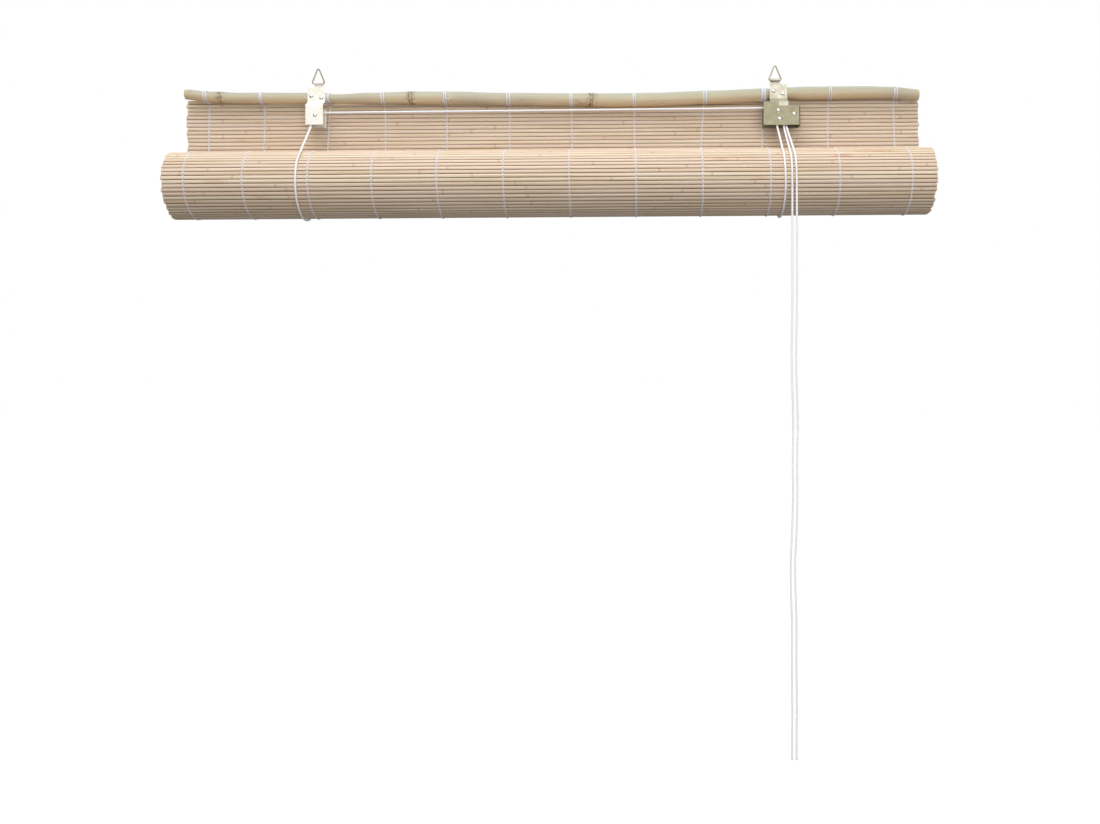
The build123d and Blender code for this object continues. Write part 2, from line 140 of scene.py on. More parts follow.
@dataclass
class NodeDesk:
    """Adds nodes to one tree, for shaders and for geometry alike."""

    tree: bpy.types.NodeTree

    def add(
        self,
        kind: str,
        settings: dict | None = None,
        sockets: dict[int | str, Value] | None = None,
        out: int | str = 0,
    ) -> Sock:
        """Add a node, set it up, then fill or link its inputs.

        Args:
            kind: The node's type.
            settings: Its properties.
            sockets: Values or links of its inputs, by index or name.
            out: The output wanted, by index or name.

        Returns:
            That output.
        """
        node = self.tree.nodes.new(kind)
        for name, value in (settings or {}).items():
            setattr(node, name, value)
        for key, value in (sockets or {}).items():
            if isinstance(value, Sock):
                self.tree.links.new(value.socket, node.inputs[key])
            else:
                node.inputs[key].default_value = value
        return Sock(self, node.outputs[out])

    def end(self, kind: str, name: str, result: Sock) -> None:
        """Close the tree with an output node."""
        self.tree.links.new(result.socket, self.tree.nodes.new(kind).inputs[name])

    def geo(self, kind: str, sockets: dict | None = None, settings: dict | None = None) -> Sock:
        """Add a geometry node and take its first output."""
        return self.add(f"GeometryNode{kind}", settings, sockets)

    def vector(self, operation: str, sockets: dict[int | str, Value]) -> Sock:
        """Add a Vector Math node."""
        return self.add("ShaderNodeVectorMath", {"operation": operation}, sockets)

    def store(self, made: Sock, name: str, value: Sock, where: str, kind: str = "FLOAT") -> Sock:
        """Keep a value on every point or instance, under a name."""
        sockets = {"Geometry": made, "Name": name, "Value": value}
        return self.geo("StoreNamedAttribute", sockets, {"data_type": kind, "domain": where})

    def blend(self, factor: Value, first: Value, second: Value, how: str = "MIX") -> Sock:
        """Blend two colours.

        Args:
            factor: Share of the second colour.
            first: A colour or a link.
            second: A colour or a link.
            how: The blend type.

        Returns:
            The blended colour.
        """
        settings = {"data_type": "RGBA", "blend_type": how}
        pair = [v if isinstance(v, Sock) else (*v, 1) for v in (first, second)]
        return self.add("ShaderNodeMix", settings, {0: factor, 6: pair[0], 7: pair[1]}, 2)

    def axis(self, vector: Sock, index: int) -> Sock:
        """One number of a vector, 0 for X, 1 for Y and 2 for Z."""
        return self.add("ShaderNodeSeparateXYZ", None, {0: vector}, index)

    def join(self, x: Value, y: Value, z: Value) -> Sock:
        """A vector of three values."""
        return self.add("ShaderNodeCombineXYZ", None, {0: x, 1: y, 2: z})

    def place(self) -> Sock:
        """The shaded point in the object's own coordinates."""
        return self.add("ShaderNodeTexCoord", out="Object")

    def stretch(self, vector: Value, scale: Place) -> Sock:
        """The vector times a scale on each axis."""
        return self.vector("MULTIPLY", {0: vector, 1: scale})

    def grain(self, vector: Sock, scale: float, detail: float = 2, rough: float = 0.5) -> Sock:
        """Soft noise around a half, read at a vector."""
        values = {"Vector": vector, "Scale": scale, "Detail": detail, "Roughness": rough}
        return self.add("ShaderNodeTexNoise", None, values)

    def mark(self, name: str) -> Sock:
        """A value that the mesh carries under this name."""
        return self.add("ShaderNodeAttribute", {"attribute_name": name}, out="Fac")

    def bump(self, height: Sock, strength: float, distance: float) -> Sock:
        """A normal tilted by a height of 0 to 1 that is so many metres deep."""
        values = {"Height": height, "Strength": strength, "Distance": distance}
        return self.add("ShaderNodeBump", None, values, "Normal")


# --- finishes
@dataclass(frozen=True)
class Finish:
    """What all finishes share: a name, and the constants on the shader's own sockets."""

    name: str
    slot: str
    gloss: float = 0.5
    metal: float = 0.0
    constants: tuple[tuple[str, Value], ...] = ()

    def paint(self, desk: NodeDesk) -> dict[str, Sock]:
        """Build what varies over the surface, as links by the shader's socket name."""
        raise NotImplementedError

    def make(self) -> bpy.types.Material:
        """Make the material.

        Returns:
            A new material with this finish.
        """
        material = bpy.data.materials.new(self.name)
        material.use_nodes = True
        material.node_tree.nodes.clear()
        desk = NodeDesk(material.node_tree)
        sockets = {"Roughness": self.gloss, "Metallic": self.metal, **dict(self.constants)}
        sockets.update(self.paint(desk))
        shader = desk.add("ShaderNodeBsdfPrincipled", None, sockets)
        desk.end("ShaderNodeOutputMaterial", "Surface", shader)
        return material


@dataclass(frozen=True)
class CaneFinish(Finish):
    """Pale green-grey bamboo bark that turns golden below and is painted lighter there as fill
    light, with scars at its joints.
    """

    bark: Colour = linear(169, 171, 151)
    # Golden hue of the underside, set lighter than the bark: partly the bark's own hue, partly
    # painted fill light where little light falls. It also tints the fibres.
    golden: Colour = linear(226, 200, 162)
    grey: Colour = linear(168, 161, 148)
    scar: Colour = linear(112, 90, 62)
    pith: Colour = linear(226, 208, 164)

    def paint(self, desk: NodeDesk) -> dict[str, Sock]:
        """Fibres along the cane, weathered patches, scars, pale cut ends and a golden underside
        that is partly painted fill light.
        """
        place = desk.place()
        fibre = desk.grain(desk.stretch(place, (9, 900, 900)), 1, 3, 0.6)
        patch = desk.grain(desk.stretch(place, (7, 40, 40)), 1, 3)
        fleck = desk.grain(desk.stretch(place, (60, 420, 420)), 1, 2, 0.7).ease(0.64, 0.74)
        underside_tint_and_painted_fill = desk.mark("underside_tint_and_painted_fill")
        # Painted fill light: the underside is blended towards the lighter golden, which is partly
        # its own hue.
        colour = desk.blend(underside_tint_and_painted_fill * 0.85, self.bark, self.golden)
        colour = desk.blend(patch.ease(0.5, 0.72) * 0.5, colour, self.grey)
        colour = desk.blend(fibre.ease(0.3, 0.75) * 0.22, colour, self.golden, "MULTIPLY")
        colour = desk.blend(fleck * 0.35, colour, self.scar)
        colour = desk.blend(desk.mark("scar"), colour, self.scar)
        colour = desk.blend(desk.mark("cut"), colour, self.pith)
        height = fibre * 0.5 + desk.grain(place, 700, 2) * 0.5
        return {
            "Base Color": colour,
            "Roughness": 0.36 + patch * 0.16 + desk.mark("cut") * 0.3,
            "Normal": desk.bump(height, 0.35, 0.0002),
        }


@dataclass(frozen=True)
class SplintFinish(Finish):
    """Peeled bamboo splints: cream and pinkish, each of its own tone, with joints and streaks."""

    cream: Colour = linear(230, 213, 189)
    pink: Colour = linear(222, 199, 179)
    straw: Colour = linear(202, 178, 142)
    streak: Colour = linear(190, 118, 72)
    joint: Colour = linear(164, 126, 84)
    # Dark brown of the splint edges: partly their rougher cut fibres, partly painted shade where
    # neighbouring splints meet.
    rim: Colour = linear(92, 68, 48)

    def paint(self, desk: NodeDesk) -> dict[str, Sock]:
        """Tones by splint, fibres along it, scarce warm streaks, joint marks, and edges darkened
        partly for their cut fibres and partly as painted shade between splints.
        """
        place = desk.place()
        tone = desk.mark("tone")
        along = desk.axis(place, 0)
        shifted = desk.join(along * 5 + tone * 91, tone * 37, desk.axis(place, 2) * 260)
        fibre = desk.grain(desk.stretch(place, (16, 1500, 1500)), 1, 3, 0.6)
        drift = desk.grain(shifted, 1, 2)
        warm = desk.grain(desk.join(along * 9 + tone * 53, tone * 71, 0), 1, 2).ease(0.66, 0.76)
        ring = ((along / 0.31 + tone * 7.3).fraction() - 0.5).magnitude().ease(0.008, 0.003)
        colour = desk.blend(tone.ease(0.1, 0.9), self.cream, self.pink)
        colour = desk.blend(drift.ease(0.4, 0.75) * 0.75, colour, self.straw)
        colour = desk.blend(warm * 0.4, colour, self.streak)
        colour = desk.blend(fibre.ease(0.35, 0.8) * 0.3, colour, self.straw, "MULTIPLY")
        colour = desk.blend(ring * 0.3, colour, self.joint)
        # Edges darkened: partly the cut fibres, partly painted shade between splints.
        colour = desk.blend(desk.mark("rim").ease(0.72, 0.97) * 0.92, colour, self.rim)
        return {
            "Base Color": colour,
            "Roughness": 0.5 + drift * 0.2,
            "Normal": desk.bump(fibre + ring * 0.8, 0.4, 0.00015),
        }


@dataclass(frozen=True)
class BraidFinish(Finish):
    """Braided white cord, its pattern drawn on the cord's own map."""

    thread: Colour = linear(197, 195, 211)
    # Darker lilac for the painted shade in the valleys between strands, also used for the soiling.
    valley_shade_and_soil: Colour = linear(134, 130, 152)
    lay: float = 0.0034
    starts: int = 4

    def paint(self, desk: NodeDesk) -> dict[str, Sock]:
        """Two families of strands that cross, with painted shade in the valleys between them and
        very faint soiling.
        """
        chart = desk.add("ShaderNodeUVMap", {"uv_map": "UVMap"})
        turn, along = desk.axis(chart, 0), desk.axis(chart, 1)
        right = ((turn * self.starts + along / self.lay) * math.tau).sine()
        left = ((turn * self.starts - along / self.lay) * math.tau).sine()
        strands = right.larger(left) * 0.5 + 0.5
        fuzz = desk.grain(desk.place(), 2600, 2)
        soil = desk.grain(desk.place(), 26, 2)
        # Painted shade: the valleys between strands take the darker colour.
        colour = desk.blend(strands.ease(0.15, 0.8), self.valley_shade_and_soil, self.thread)
        colour = desk.blend(soil.ease(0.5, 0.8) * 0.25, colour, self.valley_shade_and_soil)
        return {
            "Base Color": colour,
            "Roughness": 0.72 + fuzz * 0.2,
            "Normal": desk.bump(strands + fuzz * 0.2, 0.7, 0.00025),
        }


@dataclass(frozen=True)
class TwineFinish(Finish):
    """Thin twisted twine, white with a blue cast."""

    thread: Colour = linear(236, 238, 246)
    # Darker blue-grey for the painted shade in the hollows of the twist, also mixed in by the fuzz.
    hollow_shade_and_fuzz: Colour = linear(196, 196, 212)
    lay: float = 0.0012

    def paint(self, desk: NodeDesk) -> dict[str, Sock]:
        """The twist along each strand, its hollows darkened as painted shade, and a little fuzz."""
        twist = (desk.mark("along") * (math.tau / self.lay)).sine() * 0.5 + 0.5
        fuzz = desk.grain(desk.place(), 3200, 2)
        # Painted shade in the twist's hollows, plus random fuzz.
        return {
            "Base Color": desk.blend(twist * 0.35 + fuzz * 0.3, self.thread, self.hollow_shade_and_fuzz),
            "Roughness": 0.75 + fuzz * 0.2,
            "Normal": desk.bump(twist + fuzz * 0.4, 0.5, 0.0001),
        }


@dataclass(frozen=True)
class PlateFinish(Finish):
    """Zinc-plated sheet with a yellow passivation, rubbed and clouded."""

    # The defaults, used by the pale plate, are near-white: the glare on the left bracket is painted
    # into its colour.
    plate: Colour = linear(247, 245, 238)
    cloud: Colour = linear(234, 229, 212)
    rubbed: Colour = linear(252, 252, 250)

    def paint(self, desk: NodeDesk) -> dict[str, Sock]:
        """Cloudy passivation, fine drawing lines, pits and rubbed high spots."""
        place = desk.place()
        cloud = desk.grain(place, 130, 3, 0.55)
        drawn = desk.grain(desk.stretch(place, (300, 300, 4200)), 1, 2)
        pits = desk.grain(place, 1900, 2).ease(0.66, 0.75)
        scuff = desk.grain(desk.stretch(place, (900, 300, 160)), 1, 3, 0.7).ease(0.62, 0.74)
        colour = desk.blend(cloud.ease(0.35, 0.7), self.plate, self.cloud)
        colour = desk.blend(scuff * 0.5, colour, self.rubbed)
        colour = desk.blend(pits * 0.4, colour, self.cloud, "MULTIPLY")
        return {
            "Base Color": colour,
            "Roughness": 0.3 + cloud * 0.2 + pits * 0.15,
            "Normal": desk.bump(drawn * 0.4 + cloud * 0.3 - pits, 0.08, 0.0001),
        }


@dataclass(frozen=True)
class TurnedFinish(Finish):
    """A turned or drawn part, in metal or nylon, with fine rings and handling marks."""

    body: Colour = linear(210, 208, 210)
    worn: Colour = linear(150, 146, 146)
    scale: float = 900.0

    def paint(self, desk: NodeDesk) -> dict[str, Sock]:
        """Fine mottling with a few worn marks."""
        place = desk.place()
        mottle = desk.grain(place, self.scale, 3)
        marks = desk.grain(place, self.scale * 0.3, 3, 0.7).ease(0.56, 0.72)
        return {
            "Base Color": desk.blend(marks * 0.6 + mottle * 0.2, self.body, self.worn),
            "Roughness": self.gloss + marks * 0.2,
            "Normal": desk.bump(mottle, 0.1, 0.0001),
        }


@dataclass(frozen=True)
class FloorFinish(Finish):
    """A grey floor that glows almost white."""

    base: Colour = linear(70, 70, 70)
    fleck: Colour = (0.8, 0.8, 0.8)

    def paint(self, desk: NodeDesk) -> dict[str, Sock]:
        """A nearly even base colour."""
        cloud = desk.grain(desk.place(), 0.4, 2)
        return {"Base Color": desk.blend(cloud * 0.06, self.base, self.fleck)}


class Look(Enum):
    """The finishes of the blind."""

    CANE = CaneFinish("cane_bark", "bamboo_pole", constants=(("IOR", 1.48),))
    SPLINT = SplintFinish("peeled_splint", "bamboo_splint", constants=(("IOR", 1.45),))
    TWINE = TwineFinish("warp_twine", "twine", constants=(("Specular IOR Level", 0.3),))
    CORD = BraidFinish("braided_cord", "braided_cord", constants=(("Specular IOR Level", 0.3),))
    # The lit copy of the plating, near-white with painted glare.
    PALE_PLATE = PlateFinish("pale_plate", "plated_sheet", metal=0.35)
    # The same plating made darker for the right strap, beside the pale copy that carries the
    # painted glare.
    DARKER_PLATE = PlateFinish(
        "darker_plate", "plated_sheet", metal=0.6, plate=linear(192, 187, 171),
        cloud=linear(176, 169, 148), rubbed=linear(212, 208, 194),
    )
    KHAKI_PLATE = PlateFinish(
        "khaki_plate", "plated_sheet", metal=0.75, plate=linear(138, 133, 110),
        cloud=linear(131, 125, 101), rubbed=linear(152, 148, 128),
    )
    WIRE = TurnedFinish(
        "ring_wire", "wire", gloss=0.3, metal=0.9,
        body=linear(176, 168, 146), worn=linear(120, 112, 96),
    )
    STEEL = TurnedFinish("rivet_steel", "rivet_steel", gloss=0.2, metal=0.95)
    NYLON = TurnedFinish(
        "pulley_nylon", "nylon", gloss=0.4, body=linear(232, 229, 218), worn=linear(206, 200, 184),
    )
    BRASS = TurnedFinish(
        "cam_brass", "cam_brass", gloss=0.3, metal=0.9,
        body=linear(202, 178, 118), worn=linear(150, 124, 78),
    )
    FLOOR = FloorFinish(
        "pale_floor", "", gloss=0.8,
        constants=(("Emission Color", (1, 1, 1, 1)), ("Emission Strength", 0.96)),
    )

    def material(self) -> bpy.types.Material:
        """The finish's material, made once."""
        return bpy.data.materials.get(self.value.name) or self.value.make()


# --- mesh helpers
def stand(name: str, data: bpy.types.ID) -> bpy.types.Object:
    """Put an object with this data into the scene."""
    thing = bpy.data.objects.new(name, data)
    bpy.context.scene.collection.objects.link(thing)
    return thing


def bake(host: bpy.types.Object) -> bpy.types.Mesh:
    """Take the plain mesh that an object shows, and remove the object.

    Args:
        host: The object.

    Returns:
        Its mesh, with every layer on it.
    """
    graph = bpy.context.evaluated_depsgraph_get()
    made = bpy.data.meshes.new_from_object(
        host.evaluated_get(graph), preserve_all_data_layers=True, depsgraph=graph
    )
    bpy.data.objects.remove(host)
    return made


def piece(name: str, mesh: bpy.types.Mesh, look: Look, smooth: bool = True) -> bpy.types.Object:
    """Show a mesh as a piece of the blind.

    Args:
        name: The piece's name.
        mesh: Its mesh, in the row frame.
        look: Its finish.
        smooth: Whether its faces are shaded smooth.

    Returns:
        The piece, riding on the fixed body.
    """
    thing = stand(name, mesh)
    mesh.materials.clear()
    mesh.materials.append(look.material())
    mesh.polygons.foreach_set("use_smooth", [smooth] * len(mesh.polygons))
    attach(thing, ROOT)
    LOG.info("%s: %d faces", name, len(mesh.polygons))
    return thing


def mesh_of(name: str, build: Callable[[bmesh.types.BMesh], None]) -> bpy.types.Mesh:
    """Build a mesh through bmesh.

    Args:
        name: The mesh's name.
        build: Fills the bmesh.

    Returns:
        The mesh.
    """
    mesh = bpy.data.meshes.new(name)
    work = bmesh.new()
    build(work)
    work.to_mesh(mesh)
    work.free()
    return mesh


def skin(work: bmesh.types.BMesh, loops: Sequence[Sequence[Vector]], close: bool = True) -> None:
    """Join loops of equal length with faces.

    Args:
        work: The bmesh to fill.
        loops: The loops of points, in order.
        close: Whether the first and last loop are closed with a fan.
    """
    chart = work.loops.layers.uv.verify()
    rows = [[work.verts.new(point) for point in loop] for loop in loops]
    count = len(rows[0])
    middles = [sum(loop, Vector()) / count for loop in loops]
    steps = ((after - before).length for before, after in zip(middles, middles[1:]))
    lengths = list(accumulate(steps, initial=0.0))
    for row, (low, high) in enumerate(zip(rows, rows[1:])):
        for side in range(count):
            after = (side + 1) % count
            face = work.faces.new((low[side], low[after], high[after], high[side]))
            turns = (side, side + 1, side + 1, side)
            levels = (row, row, row + 1, row + 1)
            for corner, turn, level in zip(face.loops, turns, levels):
                corner[chart].uv = (turn / count, lengths[level])
    if close:
        for row, backwards in ((rows[0], True), (rows[-1], False)):
            middle = work.verts.new(sum((v.co for v in row), Vector()) / count)
            for side in range(count):
                pair = (row[side], row[(side + 1) % count])
                work.faces.new((middle, *(reversed(pair) if backwards else pair)))


def tube(points: Sequence[Vector], radii: Sequence[float], sides: int) -> Callable:
    """Make a builder of a round tube along points.

    Args:
        points: The centre line.
        radii: The radius at each point.
        sides: Number of sides.

    Returns:
        A builder for mesh_of.
    """

    def build(work: bmesh.types.BMesh) -> None:
        """Carry a ring along the line without twisting it."""
        loops = []
        across = Vector()
        last = len(points) - 1
        for number, (point, radius) in enumerate(zip(points, radii)):
            ahead = (points[min(number + 1, last)] - points[max(number - 1, 0)]).normalized()
            across = (across or ahead.orthogonal()) - ahead * (across or ahead).dot(ahead)
            across = (across if across.length > 1e-6 else ahead.orthogonal()).normalized()
            over = ahead.cross(across)
            angles = (math.tau * side / sides for side in range(sides))
            loops.append(
                [point + (across * math.cos(a) + over * math.sin(a)) * radius for a in angles]
            )
        skin(work, loops)

    return build


# --- geometry trees
@dataclass
class GeometryTree:
    """A geometry node group with named inputs, run once on a host object."""

    name: str
    ints: tuple[str, ...]
    floats: tuple[str, ...]
    tree: bpy.types.NodeTree = field(init=False)
    desk: NodeDesk = field(init=False)
    entry: bpy.types.Node = field(init=False)
    keys: dict[str, str] = field(init=False, default_factory=dict)

    def __post_init__(self) -> None:
        """Make the group, its sockets and its entry node."""
        self.tree = bpy.data.node_groups.new(self.name, "GeometryNodeTree")
        face = self.tree.interface
        face.new_socket("Geometry", in_out="INPUT", socket_type="NodeSocketGeometry")
        face.new_socket("Geometry", in_out="OUTPUT", socket_type="NodeSocketGeometry")
        kinds = [(name, "Int") for name in self.ints] + [(name, "Float") for name in self.floats]
        for name, kind in (*kinds, ("Finish", "Material")):
            made = face.new_socket(name, in_out="INPUT", socket_type=f"NodeSocket{kind}")
            self.keys[name] = made.identifier
        self.desk = NodeDesk(self.tree)
        self.entry = self.tree.nodes.new("NodeGroupInput")

    def ask(self, name: str) -> Sock:
        """The value of a named input."""
        return Sock(self.desk, self.entry.outputs[name])

    def curve(self) -> Sock:
        """The path that the tree is run on, as a curve."""
        return self.desk.geo("MeshToCurve", {"Mesh": self.ask("Geometry")})

    def end(self, made: Sock) -> None:
        """Close the tree with real geometry and its finish."""
        real = self.desk.geo("RealizeInstances", {"Geometry": made})
        dressed = self.desk.geo("SetMaterial", {"Geometry": real, "Material": self.ask("Finish")})
        self.desk.end("NodeGroupOutput", "Geometry", dressed)

    def run(self, path: Sequence[Vector], look: Look, **values: float) -> bpy.types.Mesh:
        """Run the tree on a path.

        Args:
            path: Points of the path, joined by edges.
            look: The finish given to the result.
            values: The other inputs, by name with _ for a space.

        Returns:
            The result as a plain mesh.
        """
        line = bpy.data.meshes.new(self.name)
        line.from_pydata(path, [(i, i + 1) for i in range(len(path) - 1)], [])
        host = stand(self.name, line)
        modifier = host.modifiers.new(self.name, "NODES")
        modifier.node_group = self.tree
        modifier[self.keys["Finish"]] = look.material()
        for name, value in values.items():
            modifier[self.keys[name.replace("_", " ")]] = value
        return bake(host)


def slat_tree() -> GeometryTree:
    """Build the tree that lays splints side by side along a path.

    Returns:
        The tree.
    """
    floats = ("Length", "Width", "Thickness", "Edge", "Stagger", "Wander")
    tree = GeometryTree("slat_run", ("Count", "Cells", "Seed"), floats)
    desk, ask = tree.desk, tree.ask
    half = ask("Length") * 0.5
    ends = {"Start": desk.join(half * -1, 0, 0), "End": desk.join(half, 0, 0)}
    spine = desk.geo("CurvePrimitiveLine", ends)
    spine = desk.geo("ResampleCurve", {"Curve": spine, "Count": ask("Cells")})
    sides = {"Width": ask("Thickness"), "Height": ask("Width")}
    outline = desk.geo("CurvePrimitiveQuadrilateral", sides)
    corners = {"Curve": outline, "Radius": ask("Edge"), "Count": 1}
    outline = desk.geo("FilletCurve", corners, {"mode": "POLY"})
    slat = desk.geo("CurveToMesh", {"Curve": spine, "Profile Curve": outline, "Fill Caps": True})
    # How far across its width a point lies, 0 in the middle to 1 at the edges. The splint finish
    # darkens the edges with it, partly as painted shade.
    away = desk.axis(desk.geo("InputPosition"), 2).magnitude() * 2 / ask("Width")
    slat = desk.store(slat, "rim", away, "POINT")
    points = desk.geo("CurveToPoints", {"Curve": tree.curve(), "Count": ask("Count")})
    run = Sock(desk, points.socket.node.outputs["Tangent"])
    angle = (desk.axis(run, 1) * -1).arctan2(desk.axis(run, 2))
    index = desk.geo("InputIndex")

    def chance(offset: int, low: float = 0.0, high: float = 1.0) -> Sock:
        """A random value for each splint."""
        values = {2: low, 3: high, "ID": index, "Seed": ask("Seed") + offset}
        return desk.add("FunctionNodeRandomValue", {"data_type": "FLOAT"}, values, 1)

    size = desk.join(1 - chance(2) * 0.002, chance(3, 0.9, 1.0), chance(4, 0.985, 1.0))
    pose = {"Rotation": desk.join(angle, 0, 0), "Scale": size}
    placed = desk.geo("InstanceOnPoints", {"Points": points, "Instance": slat, **pose})
    shift = desk.join(chance(1, -1, 1) * ask("Stagger"), 0, 0)
    shifted = {"Instances": placed, "Translation": shift, "Local Space": False}
    placed = desk.geo("TranslateInstances", shifted)
    placed = desk.store(placed, "tone", chance(5), "INSTANCE")
    placed = desk.store(placed, "run", run, "INSTANCE", AS_VECTOR)
    real = desk.geo("RealizeInstances", {"Geometry": placed})
    tone = desk.geo("InputNamedAttribute", {"Name": "tone"}, {"data_type": "FLOAT"})
    side = desk.geo("InputNamedAttribute", {"Name": "run"}, {"data_type": AS_VECTOR})
    along = desk.axis(desk.geo("InputPosition"), 0)
    wave = desk.grain(desk.join(along * 7, tone * 400, 0), 1, 1) - 0.5
    drift = desk.vector("SCALE", {0: side, "Scale": wave * ask("Wander")})
    tree.end(desk.geo("SetPosition", {"Geometry": real, "Offset": drift}))
    return tree


def twine_tree() -> GeometryTree:
    """Build the tree that twines a pair of strands in and out of the splints along a path.

    Returns:
        The tree.
    """
    tree = GeometryTree("twined_pair", ("Steps",), ("Pitch", "Depth", "Side", "Strand"))
    desk, ask = tree.desk, tree.ask
    line = desk.geo("ResampleCurve", {"Curve": tree.curve(), "Count": ask("Steps")})
    span = desk.add("GeometryNodeSplineParameter", out="Length")
    swing = span / ask("Pitch") * math.pi
    across = desk.vector("CROSS_PRODUCT", {0: desk.geo("InputTangent"), 1: (1, 0, 0)})
    deep = swing.sine().sign() * swing.sine().magnitude() ** 0.55 * ask("Depth")
    wide = swing.cosine() * ask("Side")
    disc = desk.geo("CurvePrimitiveCircle", {"Resolution": 5, "Radius": 1.0})
    size = desk.join(ask("Strand"), ask("Strand"), ask("Strand"))
    disc = desk.geo("Transform", {"Geometry": disc, "Scale": size})
    both = desk.tree.nodes.new("GeometryNodeJoinGeometry")
    for hand in (-1, 1):
        out = desk.vector("SCALE", {0: across, "Scale": deep * hand})
        push = desk.vector("ADD", {0: out, 1: desk.join(wide * hand, 0, 0)})
        strand = desk.geo("SetPosition", {"Geometry": line, "Offset": push})
        strand = desk.store(strand, "along", span, "POINT")
        profile = {"Curve": strand, "Profile Curve": disc, "Fill Caps": True}
        desk.tree.links.new(desk.geo("CurveToMesh", profile).socket, both.inputs[0])
    tree.end(Sock(desk, both.outputs[0]))
    return tree


# --- canes
@dataclass(frozen=True)
class Joint:
    """A joint of the cane: where it is and how strongly it shows."""

    x: float
    strength: float
    crack: bool = False


@dataclass
class Cane:
    """A length of bamboo cane with swollen joints and bored ends."""

    node: str
    joints: tuple[Joint, ...]
    radius_steps: tuple[tuple[float, float, float, float], ...] = ()
    sides: int = 40
    step: float = 0.004
    bore: float = 0.0026
    bore_depth: float = 0.013
    lip: float = 0.0003
    thinnest: float = 0.012
    out_of_round: float = 0.0006
    rim: float = 0.0004
    unevenness: float = 0.00012
    swells: Route = ((0.00042, 0, 0.0065), (0.0003, 0.0022, 0.0009), (-0.0005, 0, 0.0008))

    def __post_init__(self) -> None:
        """Read the stations off the frame where none are given."""
        if not self.radius_steps:
            self.radius_steps = self.read_stations()

    def read_stations(self) -> tuple[tuple[float, float, float, float], ...]:
        """Find the cane's centre and radius at each station of its solid.

        Returns:
            x, centre y, centre z and radius, in order of x.
        """
        rings = defaultdict(list)
        for vertex in bpy.data.objects[self.node].data.vertices:
            rings[round(vertex.co.x, 4)].append(vertex.co)
        found = []
        for x, ring in sorted(rings.items()):
            ys, zs = [p.y for p in ring], [p.z for p in ring]
            tall, deep = max(zs) - min(zs), max(ys) - min(ys)
            if tall > self.thinnest and abs(tall - deep) < self.out_of_round:
                found.append(
                    (x, (max(ys) + min(ys)) / 2, (max(zs) + min(zs)) / 2, (tall + deep) / 4)
                )
        return tuple(found)

    def at(self, x: float) -> tuple[float, float, float]:
        """Centre and radius at x.

        Args:
            x: Place along the cane.

        Returns:
            Centre y, centre z and radius.
        """
        steps = self.radius_steps
        x = min(max(x, steps[0][0]), steps[-1][0])
        for low, high in zip(steps, steps[1:]):
            if low[0] <= x <= high[0]:
                share = (x - low[0]) / (high[0] - low[0])
                share = share * share * (3 - 2 * share)
                return tuple(a + share * (b - a) for a, b in zip(low[1:], high[1:]))
        return steps[-1][1:]

    def swelling(self, x: float, angle: float) -> float:
        """How far the bark stands off its mean radius.

        Args:
            x: Place along the cane.
            angle: Place round it.

        Returns:
            The offset in metres.
        """
        spot = Vector((x * 24, math.cos(angle) * 1.4, math.sin(angle) * 1.4))
        out = self.unevenness * noise.noise(spot)
        for joint in self.joints:
            for height, offset, reach in self.swells:
                away = (x - joint.x - offset) / reach
                out += joint.strength * height * math.exp(-(away**2))
        return out

    def scar(self, x: float, angle: float) -> float:
        """How dark the scar is at a place on the bark, 0 to 1."""
        dark = 0.0
        for joint in self.joints:
            away = x - joint.x + 0.0007 * math.sin(angle + joint.x * 40)
            patch = noise.noise(Vector((x * 260, math.cos(angle) * 2, math.sin(angle) * 2 + x * 9)))
            for line in (-0.0013, 0.0019):
                dark += joint.strength * 0.5 * math.exp(-(((away + line) / 0.0008) ** 2))
            dark += joint.strength * max(0.0, 0.26 + patch) * math.exp(-((away / 0.0062) ** 4))
            if joint.crack:
                low = max(0.0, -math.sin(angle) + 0.1) * max(0.0, 1 - abs(away + 0.013) / 0.016)
                wave = noise.noise(Vector((x * 160, angle * 3, 4.2)))
                dark += 1.2 * low * max(0.0, 0.25 + wave)
        return min(1.0, dark)

    def stops(self) -> list[float]:
        """Places along the cane where it gets a ring: closer together at the joints."""
        first, last = self.radius_steps[0][0], self.radius_steps[-1][0]
        count = round((last - first) / self.step)
        places = {round(first + (last - first) * i / count, 5) for i in range(count + 1)}
        for joint in self.joints:
            places |= {round(joint.x + i * 0.0005, 5) for i in range(-14, 15)}
        return sorted(x for x in places if first <= x <= last)

    def build(self) -> None:
        """Build the cane as a piece that stands for its solid."""
        loops, marks = [], []
        angles = [math.tau * side / self.sides for side in range(self.sides)]

        def ring(x: float, inset: float, fixed: float, cut: float) -> None:
            """Add one loop, at an inset from the bark or at a fixed radius."""
            y, z, radius = self.at(x)
            points = []
            for angle in angles:
                away = fixed or radius + self.swelling(x, angle) - inset
                points.append(Vector((x, y + away * math.cos(angle), z + away * math.sin(angle))))
                # How far a point faces down, 0 on top to 1 below: the mask for the golden hue and
                # the painted fill light on the underside.
                low = max(0.0, min(1.0, 0.42 - 0.75 * math.sin(angle)))
                marks.append((0 if cut else self.scar(x, angle), cut, low))
            loops.append(points)

        places = self.stops()
        first, last = places[0], places[-1]
        mouth = (
            (self.bore_depth, self.bore * 0.96, 0.7), (self.lip, self.bore, 0.9),
            (0, self.bore + self.lip, 1),
        )
        for depth, size, cut in mouth:
            ring(first + depth, 0, size, cut)
        ring(first, self.rim, 0, 1)
        for x in places[1:-1]:
            ring(x, 0, 0, 0)
        ring(last, self.rim, 0, 1)
        for depth, size, cut in reversed(mouth):
            ring(last - depth, 0, size, cut)
        mesh = mesh_of(self.node, lambda work: skin(work, loops))
        for index, name in enumerate(("scar", "cut", "underside_tint_and_painted_fill")):
            layer = mesh.attributes.new(name, "FLOAT", "POINT")
            values = [mark[index] for mark in marks]
            values += [(0, 0.7, 0)[index]] * (len(mesh.vertices) - len(values))
            layer.data.foreach_set("value", values)
        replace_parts(piece(f"{self.node}_cane", mesh, Look.CANE), self.node)


